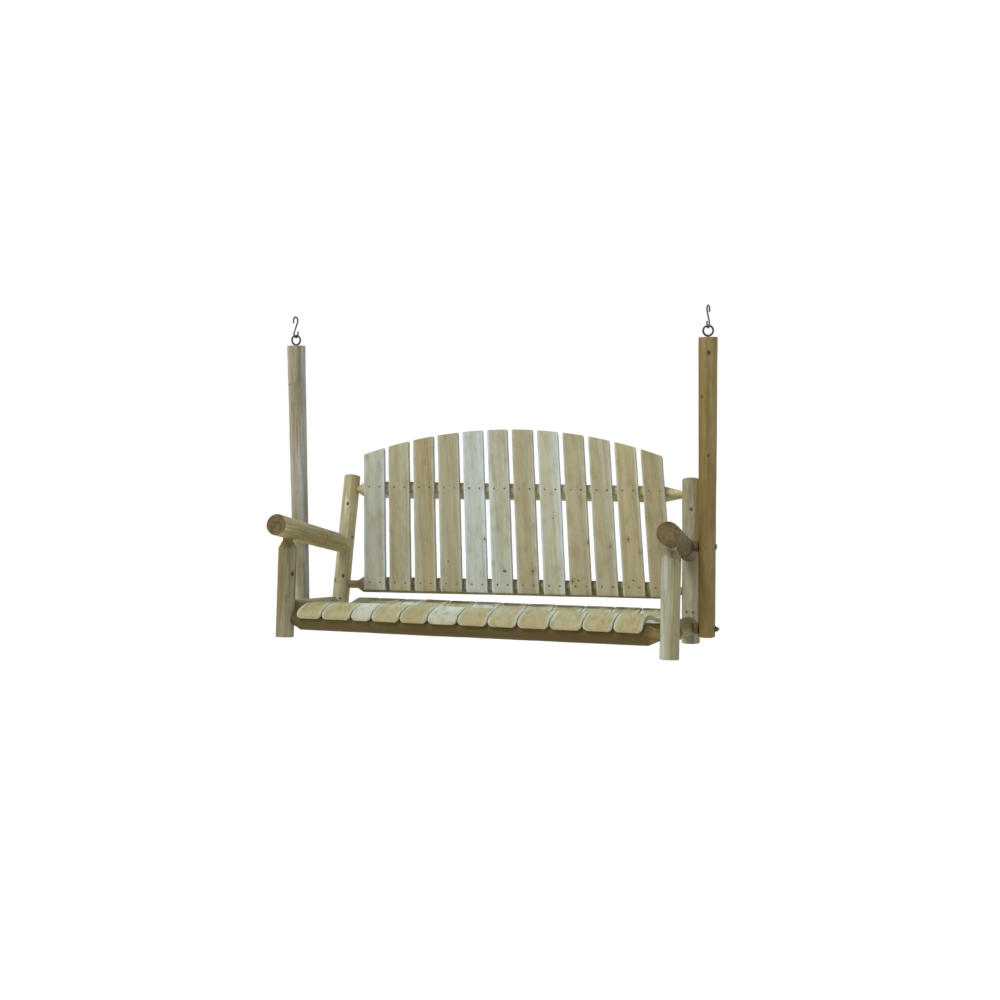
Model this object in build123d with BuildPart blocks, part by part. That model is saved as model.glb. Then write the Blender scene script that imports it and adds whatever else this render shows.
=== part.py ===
from build123d import *
import os
from math import asin, cos, degrees, radians, sin, tan

# A log porch swing for two, hung from a pair of S-hooks.
# X runs across the seat, Y runs back, Z runs up. The origin is the middle of the hang line,
# which joins the inner tops of the two hooks. Points are first given by three numbers:
# across from the middle, depth behind the front posts' feet, height above the back posts' feet.

# Driving dimensions: millimetres and degrees.
INCH = 25.4
OVERALL_HEIGHT = 47 * INCH   # back posts' feet to the outer tops of the hooks
POST_SPACING = 54 * INCH     # between the axes of the two front posts
SEAT_DEPTH = 20 * INCH       # front faces of the front posts to the axes of the back posts
SEAT_TILT = 7.2              # the seat frame hangs tipped back
BACK_LEAN = 19.2
ARM_SLOPE = 12.9

# The two sides, as seen from the front. The logs are hand-peeled, so the sides differ a little.
SIDES = {"left": -1, "right": 1}
FOOT_HEIGHT = {"left": 43, "right": 31}
SIDE_RAIL_HEIGHT = {"left": 139.5, "right": 117.5}
SIDE_LEAN = {"left": 1.2, "right": 2.8}
TOP_RAIL_HEIGHT = {"left": 523, "right": 518}
LOWER_RAIL_HEIGHT = {"left": 158, "right": 176}
HANGER_RADIUS = {"left": 34.5, "right": 33}

# Posts and logs.
POST_RADIUS = 33
FRONT_FOOT = 36              # height where the front posts' axes are at depth 0
LEAN_START = 129             # below this height the back posts are square to the front ones
BACK_POST_TOP = 573.6
EASE = 2                     # chamfer of a square-cut log end
BACK_FOOT_DEPTH = SEAT_DEPTH - POST_RADIUS - FRONT_FOOT * tan(radians(BACK_LEAN))
ARM_HEIGHT = 427             # armrest axis over the front post
ARM_OVERHANG = 97.5
ARM_RADII = (38.5, 37)
SIDE_RAIL_RADIUS = 34
SIDE_RAIL_CONE = {"left": 45, "right": 9}
FRONT_RAIL_HEIGHT = 104.5
FRONT_RAIL_RADIUS = 34
REAR_RAIL_HEIGHT = 47
TOP_RAIL_RADII = (34.5, 31)
LOWER_RAIL_RADIUS = 31

# Turned tenons and their mortises.
FIT = 0.2
THIN_TENON = 13.5
BACK_TENON = 15
THICK_TENON = 17
SHORT_STOP = 14.5            # a tenon that ends short of one crossing it in the same post

# Hanging posts, hooks and eye bolts.
HANG_DEPTH = 318.9
HANGER_ACROSS = POST_SPACING / 2 + 81.5
HANGER_FOOT = 50.5
HANGER_TOP = 1084.4
HANGER_FOOT_RADIUS = 29
HOOK_WIRE = 3
HANG_HEIGHT = OVERALL_HEIGHT - 2 * HOOK_WIRE
HOOK_TOP_BEND = 12.5
HOOK_LOW_BEND = 12
HOOK_TURN = {"left": -13, "right": 27}
HOOK_TIP = 11                # each bend ends in a straight tip this long
RING_RADIUS = 17
RING_WIRE = 3.5
SHANK_RADIUS = 4
SHANK_LENGTH = 70
HOOK_CLEARANCE = 0.3

# A lag bolt ties each hanging post to its armrest, and a carriage bolt to its side rail.
BOLT_RADIUS = 4.8
BOLT_HOLE = 5.2
BOLT_TIP = 5
HEAD_RADIUS = 10.5
HEAD_HEIGHT = 4
NUT_RADIUS = 8.5
NUT_HEIGHT = 7
WASHER_RADIUS = 11
LAG_COVER = 14               # wood left between the lag bolt's end and the armrest's inner side
WASHER_HEIGHT = 1.6
SPACER_RADIUS = 20           # turned wooden pads that fill the gap beside each hanging post
BEARING_GAP = 0.3            # between a flat washer or sleeve and the round log it bears on

# Back slats, which lie in a plane in front of the back posts' axes.
SLAT_COUNT = 12
SLAT_THICKNESS = 19
BACK_SLAT_WIDTHS = (87, 85.5, 85, 85, 83, 81, 83, 82, 81, 81, 80.5, 80)
BACK_SLAT_GAP = 18.3
BACK_LEFT_EDGE = -602.9
BACK_SLAT_SKEW = 7.0
BACK_SLAT_MIDDLE = 400       # height at which the slats' left edge is measured
SLAT_OFFSET = 31.2           # the rails' front, ahead of the posts' axes
SLAT_FOOT_HEIGHT = 148.5
SLAT_FOOT_RISE = 0.6
ARCH_TOP = 755
ARCH_ACROSS = -40
ARCH_RADIUS = 1758

# Seat slats, sawn to an S. The curve is of depth and height along their top.
SEAT_LEFT_EDGE = -624
SEAT_SLAT_WIDTHS = (95, 111, 76, 104, 101, 107, 107, 103, 111, 112, 103, 99)
SEAT_SLAT_GAP = 2
SEAT_CURVE = [(65, 161), (185, 139), (291, 114), (400, 99.5), (530, 107.5)]
NOSE_RADIUS = 48
NOSE_ARC = (101, 160)        # degrees about the front rail, from the crown down to the lip
NOSE_BED = 78                # where the underside leaves the front rail
LIP_ROUND = 18

# Nails and screws.
NAIL_RADIUS = 1.6
NAIL_LENGTH = 48
SEAT_SCREW_RADIUS = 2.4
SEAT_SCREW_BITE = 9          # how far the screws reach into the slats
NAIL_HEAD_RADIUS = 3.4
NAIL_HEAD_HEIGHT = 1.4
SCREW_RADIUS = 2.2
SCREW_HEAD_RADIUS = 4.2
SCREW_HEIGHT = 99
SCREW_GAP = 22

os.makedirs("parts", exist_ok=True)


def place(across, depth, height):
    return Vector(across, depth - HANG_DEPTH, height - HANG_HEIGHT)


def finish_piece(piece, name):
    piece.part.label = name
    export_step(piece.part, f"parts/{name}.step")


# ---- Axes of the log frame ----

def front_post_at(side, height):
    depth = (height - FRONT_FOOT) * tan(radians(SEAT_TILT))
    return place(SIDES[side] * POST_SPACING / 2, depth, height)


def back_post_at(side, height):
    lean = (height - LEAN_START) * tan(radians(SIDE_LEAN[side]))
    depth = BACK_FOOT_DEPTH + height * tan(radians(BACK_LEAN))
    return place(SIDES[side] * POST_SPACING / 2 - lean, depth, height)


def meet_back_post(side, height, slope):
    """Where a log that falls back from the front post at that height crosses the back post."""
    fall = tan(radians(slope))
    run = BACK_FOOT_DEPTH - (height - FRONT_FOOT) * tan(radians(SEAT_TILT))
    return back_post_at(side, (height - fall * run) / (1 + fall * tan(radians(BACK_LEAN))))


def at_hanger(start, finish):
    """The point of a log's axis beside the hanging post."""
    share = -start.Y / (finish.Y - start.Y)
    return start + (finish - start) * share


arm_ends = {s: (front_post_at(s, ARM_HEIGHT), meet_back_post(s, ARM_HEIGHT, ARM_SLOPE)) for s in SIDES}
side_rail_ends = {
    s: (front_post_at(s, SIDE_RAIL_HEIGHT[s]), meet_back_post(s, SIDE_RAIL_HEIGHT[s], SEAT_TILT))
    for s in SIDES
}
front_rail_ends = [front_post_at(s, FRONT_RAIL_HEIGHT) for s in SIDES]
rear_rail_ends = [back_post_at(s, REAR_RAIL_HEIGHT) for s in SIDES]
lower_rail_ends = [back_post_at(s, LOWER_RAIL_HEIGHT[s]) for s in SIDES]
slat_normal = Vector(0, -cos(radians(BACK_LEAN)), sin(radians(BACK_LEAN)))
top_rail_ends = [
    back_post_at(s, TOP_RAIL_HEIGHT[s]) - slat_normal * (radius - TOP_RAIL_RADII[1])
    for s, radius in zip(SIDES, TOP_RAIL_RADII)
]


# ---- Logs ----

def plain_end(radius):
    """Distances along and from the axis, for a square-cut end."""
    return [(0, 0), (0, radius - EASE), (EASE, radius)]


def tenon_end(radius, stop, tenon, shoulder, cone):
    """A tenon from its end at stop to its shoulder, then a cone out to the full log."""
    return [(stop, 0), (stop, tenon), (shoulder, tenon), (shoulder + cone, radius)]


def mortise(crossing, direction, tenon, stop):
    """Mouth, direction, radius and length of the hole for a tenon that ends at stop."""
    unit = direction.normalized()
    return (crossing + unit * (stop - FIT), unit, tenon + FIT, 2 * POST_RADIUS)


def bolt_hole(point, reach):
    return (point - Vector(reach, 0, 0), Vector(1, 0, 0), BOLT_HOLE, 2 * reach)


def lag_hole(side, point, radius):
    """A blind hole from the outer side of an armrest, just deeper than its bolt."""
    outward = Vector(SIDES[side], 0, 0)
    return (point - outward * (radius - LAG_COVER + FIT), outward, BOLT_HOLE, 2 * radius)


def make_log(name, start, finish, first_end, last_end, holes=(), level_foot=False):
    along = (finish - start).normalized()
    length = (finish - start).length
    outline = first_end + [(length - run, radius) for run, radius in reversed(last_end)]
    across = Vector(0, 1, 0) if abs(along.X) > abs(along.Y) else Vector(1, 0, 0)
    with BuildPart() as log:
        with BuildSketch(Plane(origin=start, x_dir=along, z_dir=along.cross(across))):
            with BuildLine():
                Polyline(*outline, close=True)
            make_face()
        revolve(axis=Axis(start, along))
        if level_foot:
            split(bisect_by=Plane.XY.offset(-HANG_HEIGHT), keep=Keep.TOP)
        for mouth, direction, radius, depth in holes:
            with Locations(Plane(origin=mouth, z_dir=direction)):
                Cylinder(radius, depth, align=(Align.CENTER, Align.CENTER, Align.MIN), mode=Mode.SUBTRACT)
    finish_piece(log, name)


def make_front_post(side):
    top = arm_ends[side][0]
    foot = front_post_at(side, FOOT_HEIGHT[side])
    rail_start, rail_finish = side_rail_ends[side]
    inward = Vector(-SIDES[side], 0, 0)
    make_log(
        f"front_post_{side}", foot, top, plain_end(POST_RADIUS),
        tenon_end(POST_RADIUS, 4, THICK_TENON, 43.5, 28),
        [
            mortise(rail_start, rail_finish - rail_start, THIN_TENON, 2),
            mortise(front_post_at(side, FRONT_RAIL_HEIGHT), inward, THICK_TENON, SHORT_STOP),
        ],
    )


def make_back_post(side):
    end = 0 if side == "left" else 1
    other = 1 - end
    arm_start, arm_finish = arm_ends[side]
    rail_start, rail_finish = side_rail_ends[side]
    low = back_post_at(side, -2 * EASE - POST_RADIUS * tan(radians(BACK_LEAN)))
    make_log(
        f"back_post_{side}", low, back_post_at(side, BACK_POST_TOP),
        plain_end(POST_RADIUS), plain_end(POST_RADIUS),
        [
            mortise(arm_finish, arm_start - arm_finish, BACK_TENON, 4),
            mortise(rail_finish, rail_start - rail_finish, THIN_TENON, 2),
            mortise(rear_rail_ends[end], rear_rail_ends[other] - rear_rail_ends[end], BACK_TENON, SHORT_STOP),
            mortise(lower_rail_ends[end], lower_rail_ends[other] - lower_rail_ends[end], BACK_TENON, 4),
            mortise(top_rail_ends[end], top_rail_ends[other] - top_rail_ends[end], BACK_TENON, 4),
        ],
        level_foot=True,
    )


def make_armrest(side):
    post, finish = arm_ends[side]
    along = (finish - post).normalized()
    start = post - along * ARM_OVERHANG
    make_log(
        f"armrest_{side}", start, finish,
        plain_end(ARM_RADII[0]), tenon_end(ARM_RADII[1], 4, BACK_TENON, 37, 36),
        [
            mortise(post, front_post_at(side, 0) - post, THICK_TENON, 4),
            lag_hole(side, at_hanger(post, finish), sum(ARM_RADII) / 2),
        ],
    )


def make_side_rail(side):
    start, finish = side_rail_ends[side]
    make_log(
        f"side_rail_{side}", start, finish,
        tenon_end(SIDE_RAIL_RADIUS, 2, THIN_TENON, 34, 24),
        tenon_end(SIDE_RAIL_RADIUS, 2, THIN_TENON, 39, SIDE_RAIL_CONE[side]),
        [bolt_hole(at_hanger(start, finish), 2 * POST_RADIUS)],
    )


def make_cross_rails():
    make_log(
        "front_seat_rail", *front_rail_ends,
        tenon_end(FRONT_RAIL_RADIUS, SHORT_STOP, THICK_TENON, 34, 30),
        tenon_end(FRONT_RAIL_RADIUS, SHORT_STOP, THICK_TENON, 34, 35),
    )
    make_log(
        "rear_seat_rail", *rear_rail_ends,
        tenon_end(POST_RADIUS, SHORT_STOP, BACK_TENON, 34, 30),
        tenon_end(POST_RADIUS, SHORT_STOP, BACK_TENON, 34, 30),
    )
    make_log(
        "lower_back_rail", *lower_rail_ends,
        tenon_end(LOWER_RAIL_RADIUS, 4, BACK_TENON, 68, 26),
        tenon_end(LOWER_RAIL_RADIUS, 4, BACK_TENON, 53, 30),
    )
    make_log(
        "top_back_rail", *top_rail_ends,
        tenon_end(TOP_RAIL_RADII[0], 4, BACK_TENON, 35, 30),
        tenon_end(TOP_RAIL_RADII[1], 4, BACK_TENON, 36, 68),
    )


def hanger_radius_at(side, height):
    share = (height - HANGER_FOOT) / (HANGER_TOP - HANGER_FOOT)
    return HANGER_FOOT_RADIUS + share * (HANGER_RADIUS[side] - HANGER_FOOT_RADIUS)


def hanger_at(side, height):
    return place(SIDES[side] * HANGER_ACROSS, HANG_DEPTH, height)


def bolted_points(side):
    """The axis points beside the hanging post of the armrest, then of the side rail."""
    return [at_hanger(*arm_ends[side]), at_hanger(*side_rail_ends[side])]


def make_hanging_post(side):
    bottom = hanger_at(side, HANGER_TOP - SHANK_LENGTH)
    shank = (bottom, Vector(0, 0, 1), SHANK_RADIUS + FIT, 2 * SHANK_LENGTH)
    bolts = [
        bolt_hole(hanger_at(side, point.Z + HANG_HEIGHT), 2 * POST_RADIUS) for point in bolted_points(side)
    ]
    make_log(
        f"hanging_post_{side}", hanger_at(side, HANGER_FOOT), hanger_at(side, HANGER_TOP),
        plain_end(HANGER_FOOT_RADIUS), plain_end(HANGER_RADIUS[side]), [shank] + bolts,
    )


# ---- Hooks and eye bolts ----

ring_height = HANGER_TOP + RING_RADIUS + RING_WIRE + FIT
pivot_height = ring_height + RING_RADIUS


def make_eye_bolt(side):
    with BuildPart() as eye:
        with Locations(Plane(origin=hanger_at(side, ring_height), z_dir=(0, 1, 0))):
            Torus(RING_RADIUS, RING_WIRE)
        with Locations(hanger_at(side, HANGER_TOP - SHANK_LENGTH + FIT)):
            Cylinder(
                SHANK_RADIUS, SHANK_LENGTH + RING_WIRE,
                align=(Align.CENTER, Align.CENTER, Align.MIN),
            )
    finish_piece(eye, f"eye_bolt_{side}")


def make_s_hook(side):
    """Two bends of wire joined by a straight run that touches both, each ending in a straight tip."""
    top = HOOK_WIRE - HOOK_TOP_BEND
    low = pivot_height - HANG_HEIGHT - RING_WIRE - HOOK_CLEARANCE - HOOK_WIRE + HOOK_LOW_BEND
    slant = degrees(asin((HOOK_TOP_BEND + HOOK_LOW_BEND) / (top - low)))
    turn = radians(HOOK_TURN[side])
    hook_plane = Plane(
        origin=(SIDES[side] * HANGER_ACROSS, 0, 0),
        x_dir=(-sin(turn), cos(turn), 0),
        z_dir=(cos(turn), sin(turn), 0),
    )
    with BuildPart() as hook:
        with BuildLine(hook_plane) as wire:
            upper = CenterArc((0, top), HOOK_TOP_BEND, -slant, 180 + slant)
            lower = CenterArc((0, low), HOOK_LOW_BEND, 180 - slant, 180 + slant)
            Line(upper @ 0, lower @ 0)
            Line((-HOOK_TOP_BEND, top), (-HOOK_TOP_BEND, top - HOOK_TIP))
            Line((HOOK_LOW_BEND, low), (HOOK_LOW_BEND, low + HOOK_TIP))
        path = wire.wire()
        with BuildSketch(Plane(origin=path @ 0, z_dir=path % 0)):
            Circle(HOOK_WIRE)
        sweep(path=path)
    finish_piece(hook, f"s_hook_{side}")


# ---- Bolts, nuts, washers and spacers ----

def bolt_layout(side):
    """For each bolt: its point on the swing's log, the log's inner face and the post's outer face."""
    layout = []
    for point, radius in zip(bolted_points(side), (sum(ARM_RADII) / 2, SIDE_RAIL_RADIUS)):
        height = point.Z + HANG_HEIGHT
        inner = abs(point.X) - radius - BEARING_GAP
        gap_start = abs(point.X) + radius + BEARING_GAP
        gap_end = HANGER_ACROSS - hanger_radius_at(side, height) - BEARING_GAP
        outer = HANGER_ACROSS + hanger_radius_at(side, height) + BEARING_GAP
        layout.append((height, inner, gap_start, gap_end, outer))
    return layout


def bolt_plane(side, distance, height, outward=True):
    """A plane square to a bolt, facing away from the swing's middle or towards it."""
    facing = SIDES[side] if outward else -SIDES[side]
    return Plane(
        origin=place(SIDES[side] * distance, HANG_DEPTH, height),
        x_dir=(0, facing, 0),
        z_dir=(facing, 0, 0),
    )


def make_bolts(side):
    """The lag bolt has its head outside, and the carriage bolt below it has its tip outside."""
    (lag_height, lag_inner, _, _, lag_outer), (height, inner, _, _, outer) = bolt_layout(side)
    lag_seat = bolt_plane(side, lag_outer, lag_height, outward=False)
    seat = bolt_plane(side, inner, height)
    reach = outer - inner + WASHER_HEIGHT + NUT_HEIGHT + BOLT_TIP
    with BuildPart() as bolts:
        for head, length in ((lag_seat, lag_outer - lag_inner - LAG_COVER - BEARING_GAP), (seat, reach)):
            with BuildSketch(Plane(origin=head.origin, x_dir=head.z_dir, z_dir=head.x_dir)):
                with BuildLine():
                    ThreePointArc(
                        (-HEAD_HEIGHT, 0), (-0.77 * HEAD_HEIGHT, HEAD_RADIUS / 2), (0, HEAD_RADIUS)
                    )
                    Polyline(
                        (0, HEAD_RADIUS), (0, BOLT_RADIUS), (length - EASE, BOLT_RADIUS),
                        (length, BOLT_RADIUS - EASE), (length, 0), (-HEAD_HEIGHT, 0),
                    )
                make_face()
            revolve(axis=Axis(head.origin, head.z_dir))
    finish_piece(bolts, f"hanger_bolts_{side}")


def make_nut(side):
    _, (height, _, _, _, outer) = bolt_layout(side)
    with BuildPart() as nut:
        with BuildSketch(bolt_plane(side, outer + WASHER_HEIGHT, height)):
            RegularPolygon(NUT_RADIUS, 6)
            Circle(BOLT_HOLE, mode=Mode.SUBTRACT)
        extrude(amount=NUT_HEIGHT)
    finish_piece(nut, f"hanger_nut_{side}")


def make_washer(side):
    _, (height, _, _, _, outer) = bolt_layout(side)
    with BuildPart() as washer:
        with BuildSketch(bolt_plane(side, outer, height)):
            Circle(WASHER_RADIUS)
            Circle(BOLT_HOLE, mode=Mode.SUBTRACT)
        extrude(amount=WASHER_HEIGHT)
    finish_piece(washer, f"hanger_washer_{side}")


def make_spacers(side):
    with BuildPart() as spacers:
        for height, _, gap_start, gap_end, _ in bolt_layout(side):
            with BuildSketch(bolt_plane(side, gap_start, height)):
                Circle(SPACER_RADIUS)
                Circle(BOLT_HOLE, mode=Mode.SUBTRACT)
            extrude(amount=gap_end - gap_start)
    finish_piece(spacers, f"hanger_spacers_{side}")


# ---- Slats ----

slat_plane = Plane(
    origin=place(0, BACK_FOOT_DEPTH, 0) + slat_normal * SLAT_OFFSET,
    x_dir=(1, 0, 0),
    z_dir=slat_normal,
)


def up_the_back(height):
    """Distance along the slat plane, from the feet's level, to a height."""
    return (height - SLAT_OFFSET * sin(radians(BACK_LEAN))) / cos(radians(BACK_LEAN))


def back_slat_across(index, up):
    """Where a slat's middle line is, at a distance up the back."""
    edge = BACK_LEFT_EDGE + sum(BACK_SLAT_WIDTHS[:index]) + index * BACK_SLAT_GAP
    middle = edge + BACK_SLAT_WIDTHS[index] / 2
    return middle - (up - up_the_back(BACK_SLAT_MIDDLE)) * tan(radians(BACK_SLAT_SKEW))


def make_back_slat(index):
    foot = up_the_back(SLAT_FOOT_HEIGHT)
    crown = up_the_back(ARCH_TOP)
    half = BACK_SLAT_WIDTHS[index] / 2
    foot_edges = [back_slat_across(index, foot) + edge for edge in (-half, half)]
    feet = [(across, foot + across * tan(radians(SLAT_FOOT_RISE))) for across in foot_edges]
    tops = [(back_slat_across(index, crown) + edge, crown) for edge in (half, -half)]
    with BuildPart() as slat:
        with BuildSketch(slat_plane):
            Polygon(*feet, *tops, align=None)
            with Locations((ARCH_ACROSS, crown - ARCH_RADIUS)):
                Circle(ARCH_RADIUS, mode=Mode.INTERSECT)
        extrude(amount=SLAT_THICKNESS)
    finish_piece(slat, f"back_slat_{index + 1:02d}")


def seat_point(depth, height):
    return (depth - HANG_DEPTH, height - HANG_HEIGHT)


def nose_point(angle, radius):
    """A point about the front seat rail's axis, as depth and height."""
    rail = front_rail_ends[0]
    return (rail.Y + radius * cos(radians(angle)), rail.Z + radius * sin(radians(angle)))


def make_seat_slat(index):
    left = SEAT_LEFT_EDGE + sum(SEAT_SLAT_WIDTHS[:index])
    top = [seat_point(depth, height) for depth, height in SEAT_CURVE]
    underside = [seat_point(depth, height - SLAT_THICKNESS) for depth, height in reversed(SEAT_CURVE)]
    rail = nose_point(0, 0)
    crown_angle, lip_angle = NOSE_ARC
    bed = FRONT_RAIL_RADIUS + FIT
    with BuildPart() as slat:
        with BuildSketch(Plane.YZ.offset(left)):
            with BuildLine():
                nose = CenterArc(rail, NOSE_RADIUS, lip_angle, crown_angle - lip_angle)
                Spline(nose @ 1, *top, tangents=[nose % 1, (1, 0.1)])
                Line(top[-1], underside[0])
                Spline(*underside, nose_point(NOSE_BED, bed))
                inner = CenterArc(rail, bed, NOSE_BED, lip_angle - NOSE_BED)
                Line(inner @ 1, nose @ 0)
            make_face()
        extrude(amount=SEAT_SLAT_WIDTHS[index] - SEAT_SLAT_GAP)
        lip_middle = nose_point(lip_angle, (bed + NOSE_RADIUS) / 2)
        lip = slat.faces().sort_by_distance((left, *lip_middle))[0]
        fillet(lip.edges().filter_by(Axis.X, reverse=True), radius=LIP_ROUND)
    finish_piece(slat, f"seat_slat_{index + 1:02d}")


# ---- Nails and screws ----

def rail_height_at(ends, across):
    """Height of a cross rail's axis above the feet, at a distance across."""
    share = (across - ends[0].X) / (ends[1].X - ends[0].X)
    return ends[0].Z + share * (ends[1].Z - ends[0].Z) + HANG_HEIGHT


def back_nail_points():
    """Points on the slats' front faces, a quarter of the width in from each edge."""
    points = []
    for ends in (lower_rail_ends, top_rail_ends):
        for index in range(SLAT_COUNT):
            up = up_the_back(rail_height_at(ends, 0))
            across = back_slat_across(index, up)
            height = rail_height_at(ends, across)
            for edge in (-BACK_SLAT_WIDTHS[index] / 4, BACK_SLAT_WIDTHS[index] / 4):
                points.append((across + edge, height / cos(radians(BACK_LEAN))))
    return points


def make_back_nails():
    with BuildPart() as nails:
        with BuildSketch(slat_plane.offset(SLAT_THICKNESS - NAIL_LENGTH)):
            with Locations(*back_nail_points()):
                Circle(NAIL_RADIUS)
        extrude(amount=NAIL_LENGTH)
        with BuildSketch(slat_plane.offset(SLAT_THICKNESS - NAIL_HEAD_HEIGHT / 2)):
            with Locations(*back_nail_points()):
                Circle(NAIL_HEAD_RADIUS)
        extrude(amount=NAIL_HEAD_HEIGHT)
    finish_piece(nails, "back_slat_nails")


def seat_screw_points(depth):
    points = []
    for index, width in enumerate(SEAT_SLAT_WIDTHS):
        left = SEAT_LEFT_EDGE + sum(SEAT_SLAT_WIDTHS[:index])
        points.append((left + width / 4, depth))
        points.append((left + 3 * width / 4, depth))
    return points


def make_seat_screws():
    """Two screws a slat, driven up through the middle of each seat rail."""
    with BuildPart() as screws:
        for rail, radius in ((front_rail_ends[0], FRONT_RAIL_RADIUS), (rear_rail_ends[0], POST_RADIUS)):
            foot = Plane.XY.offset(rail.Z - radius)
            with BuildSketch(foot):
                with Locations(*seat_screw_points(rail.Y)):
                    Circle(SEAT_SCREW_RADIUS)
            extrude(amount=2 * radius + SEAT_SCREW_BITE)
            with BuildSketch(foot):
                with Locations(*seat_screw_points(rail.Y)):
                    Circle(SCREW_HEAD_RADIUS)
            extrude(amount=NAIL_HEAD_HEIGHT)
    finish_piece(screws, "seat_slat_screws")


def make_tenon_screws():
    """A pair side by side on the front of each back post, above the side rail."""
    with BuildPart() as screws:
        for side in SIDES:
            axis = back_post_at(side, SCREW_HEIGHT)
            drop = (POST_RADIUS ** 2 - (SCREW_GAP / 2) ** 2) ** 0.5
            face = Plane(origin=axis + slat_normal * drop, x_dir=(1, 0, 0), z_dir=slat_normal)
            with BuildSketch(face.offset(-NAIL_LENGTH)):
                with GridLocations(SCREW_GAP, 1, 2, 1):
                    Circle(SCREW_RADIUS)
            extrude(amount=NAIL_LENGTH)
            with BuildSketch(face):
                with GridLocations(SCREW_GAP, 1, 2, 1):
                    Circle(SCREW_HEAD_RADIUS)
            extrude(amount=NAIL_HEAD_HEIGHT)
    finish_piece(screws, "tenon_screws")


for side in SIDES:
    make_front_post(side)
    make_back_post(side)
    make_armrest(side)
    make_side_rail(side)
    make_hanging_post(side)
    make_eye_bolt(side)
    make_s_hook(side)
    make_bolts(side)
    make_nut(side)
    make_washer(side)
    make_spacers(side)
make_cross_rails()
for index in range(SLAT_COUNT):
    make_back_slat(index)
    make_seat_slat(index)
make_back_nails()
make_seat_screws()
make_tenon_screws()
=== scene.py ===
import math
import random
from types import SimpleNamespace

import bmesh
import bpy
import numpy as np
from mathutils import Matrix, Vector, noise


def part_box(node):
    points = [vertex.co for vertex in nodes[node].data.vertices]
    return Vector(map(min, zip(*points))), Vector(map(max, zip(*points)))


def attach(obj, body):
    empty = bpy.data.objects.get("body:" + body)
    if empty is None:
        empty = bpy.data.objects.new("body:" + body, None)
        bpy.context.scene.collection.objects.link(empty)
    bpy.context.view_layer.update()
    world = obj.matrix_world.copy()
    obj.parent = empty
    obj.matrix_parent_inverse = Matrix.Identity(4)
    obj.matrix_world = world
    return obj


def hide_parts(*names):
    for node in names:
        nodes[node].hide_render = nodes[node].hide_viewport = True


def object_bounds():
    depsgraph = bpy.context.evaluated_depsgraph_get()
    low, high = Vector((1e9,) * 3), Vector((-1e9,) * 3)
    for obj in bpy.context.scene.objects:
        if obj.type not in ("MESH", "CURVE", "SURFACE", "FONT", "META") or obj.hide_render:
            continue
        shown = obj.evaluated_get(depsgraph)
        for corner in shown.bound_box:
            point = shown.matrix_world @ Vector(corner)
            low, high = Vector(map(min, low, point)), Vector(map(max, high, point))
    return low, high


# A log porch swing. Lengths are in metres unless a comment says otherwise.

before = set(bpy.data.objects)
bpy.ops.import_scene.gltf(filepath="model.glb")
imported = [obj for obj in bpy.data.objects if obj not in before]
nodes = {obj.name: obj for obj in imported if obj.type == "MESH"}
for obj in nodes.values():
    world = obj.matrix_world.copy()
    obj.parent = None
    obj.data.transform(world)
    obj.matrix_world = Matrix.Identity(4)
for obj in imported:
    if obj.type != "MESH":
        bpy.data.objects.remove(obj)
cad_box = [list(corner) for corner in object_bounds()]

MM = 0.001
LOGS = [
    "front_post_left", "front_post_right", "back_post_left", "back_post_right",
    "hanging_post_left", "hanging_post_right", "armrest_left", "armrest_right",
    "side_rail_left", "side_rail_right", "front_seat_rail", "rear_seat_rail",
    "lower_back_rail", "top_back_rail",
]
BACK_SLATS = sorted(name for name in nodes if name.startswith("back_slat_") and name[-1].isdigit())
SEAT_SLATS = sorted(name for name in nodes if name.startswith("seat_slat_") and name[-1].isdigit())


# ---- Camera, light and floor ----

CAMERA_PLACE = Vector((1.3013, -4.3476, -0.3042))
CAMERA_AZIMUTH = math.radians(16.38)
CAMERA_ELEVATION = math.radians(4.64)
CAMERA_ROLL = math.radians(-0.50)
CAMERA_LENS = 45.36
KEY_PLACE = Vector((-0.50, -0.50, 1.05))
KEY_SPREAD = math.radians(24)
KEY_POWER = 2.6
KEY_COLOUR = (0.98, 0.99, 1.0)
SKY_FADE_START = 0.30
SKY_FADE_END = 0.50
SKY_LOW_POWER = 1.02
SKY_HIGH_POWER = 0.32
FLOOR_DROP = 3.0
FLOOR_REACH = 30


def add_camera():
    """A camera that looks along its azimuth and down by its elevation."""
    back = Vector((
        math.sin(CAMERA_AZIMUTH) * math.cos(CAMERA_ELEVATION),
        -math.cos(CAMERA_AZIMUTH) * math.cos(CAMERA_ELEVATION),
        math.sin(CAMERA_ELEVATION),
    ))
    level = Vector((math.cos(CAMERA_AZIMUTH), math.sin(CAMERA_AZIMUTH), 0))
    upright = back.cross(level)
    right = level * math.cos(CAMERA_ROLL) + upright * math.sin(CAMERA_ROLL)
    up = upright * math.cos(CAMERA_ROLL) - level * math.sin(CAMERA_ROLL)
    data = bpy.data.cameras.new("camera")
    data.lens = CAMERA_LENS
    camera = bpy.data.objects.new("camera", data)
    camera.matrix_world = Matrix.Translation(CAMERA_PLACE) @ Matrix((right, up, back)).transposed().to_4x4()
    bpy.context.scene.collection.objects.link(camera)
    bpy.context.scene.camera = camera


def add_key_light():
    """A broad sun that shines from its place towards the swing."""
    data = bpy.data.lights.new("key", "SUN")
    data.angle = KEY_SPREAD
    data.energy = KEY_POWER
    data.color = KEY_COLOUR
    light = bpy.data.objects.new("key", data)
    light.rotation_euler = (-KEY_PLACE).to_track_quat("-Z", "Y").to_euler()
    bpy.context.scene.collection.objects.link(light)


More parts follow.
